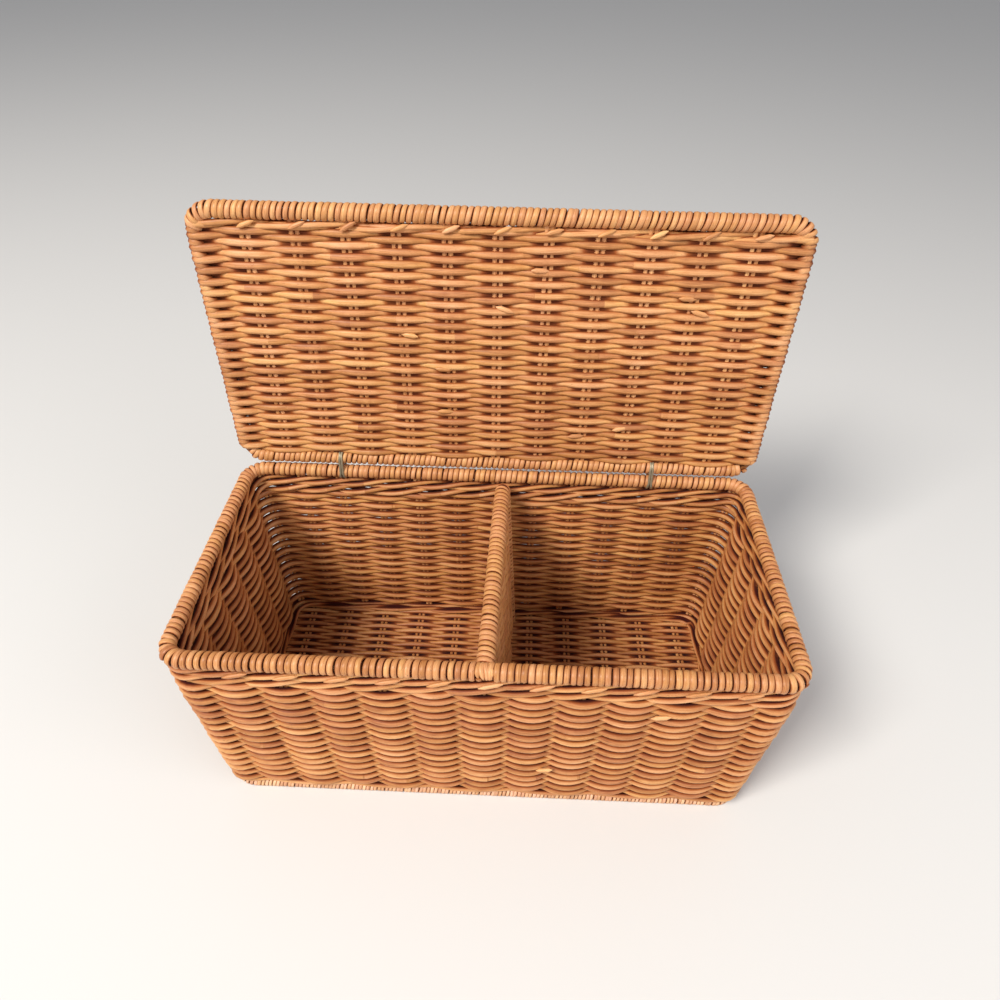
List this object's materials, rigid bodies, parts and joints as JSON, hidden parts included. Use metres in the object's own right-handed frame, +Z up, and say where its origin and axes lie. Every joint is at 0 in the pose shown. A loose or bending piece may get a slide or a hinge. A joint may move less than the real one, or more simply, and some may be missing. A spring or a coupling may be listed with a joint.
{
  "type": "wicker storage basket",
  "caption": "Lidded wicker storage basket with a lapped rim, a woven divider, and a lid that hinges on wire rings at the rear.",
  "frame": {"origin": "middle of the floor's underside, on the surface that the basket stands on", "axes": "+Z up, +Y towards the hinge side, +X along the long side, to the right as seen from the front"},
  "size_m": [0.4112, 0.2146, 0.3741],
  "materials": {
    "lapping_reed": "satin",
    "woven_reed": "satin",
    "band_reed": "satin",
    "bare_rod": "matt",
    "ring_wire": "dull"
  },
  "bodies": {
    "basket": {"foot_hoop": "bare_rod", "foot_lapping_front": "lapping_reed", "foot_lapping_right": "lapping_reed", "foot_lapping_rear": "lapping_reed", "foot_lapping_left": "lapping_reed", "floor": "woven_reed", "wall_front": "woven_reed", "wall_right": "woven_reed", "wall_rear": "woven_reed", "wall_left": "woven_reed", "corner_rear_right": "woven_reed", "corner_rear_left": "woven_reed", "corner_front_left": "woven_reed", "corner_front_right": "woven_reed", "band_front": "band_reed", "band_right": "band_reed", "band_rear": "band_reed", "band_left": "band_reed", "rim_hoop": "bare_rod", "rim_lapping_rear": "lapping_reed", "rim_lapping_left": "lapping_reed", "rim_lapping_right": "lapping_reed", "rim_lapping_front_left": "lapping_reed", "rim_lapping_front_right": "lapping_reed", "divider_frame": "bare_rod", "divider_lapping": "lapping_reed", "divider_panel": "woven_reed", "divider_lashing": "lapping_reed", "hinge_ring_left": "ring_wire", "hinge_ring_right": "ring_wire"},
    "lid": {"lid_hoop": "bare_rod", "lid_lapping_rear": "lapping_reed", "lid_lapping_front": "lapping_reed", "lid_selvedge_left": "lapping_reed", "lid_selvedge_right": "lapping_reed", "lid_panel": "woven_reed"}
  },
  "joints": [
    {"name": "lid_hinge", "type": "hinge", "parent": "basket", "child": "lid", "pos_m": [0, 0.0975, 0.17592], "axis": [1, 0, 0], "range_deg": [0, 92.5]}
  ]
}
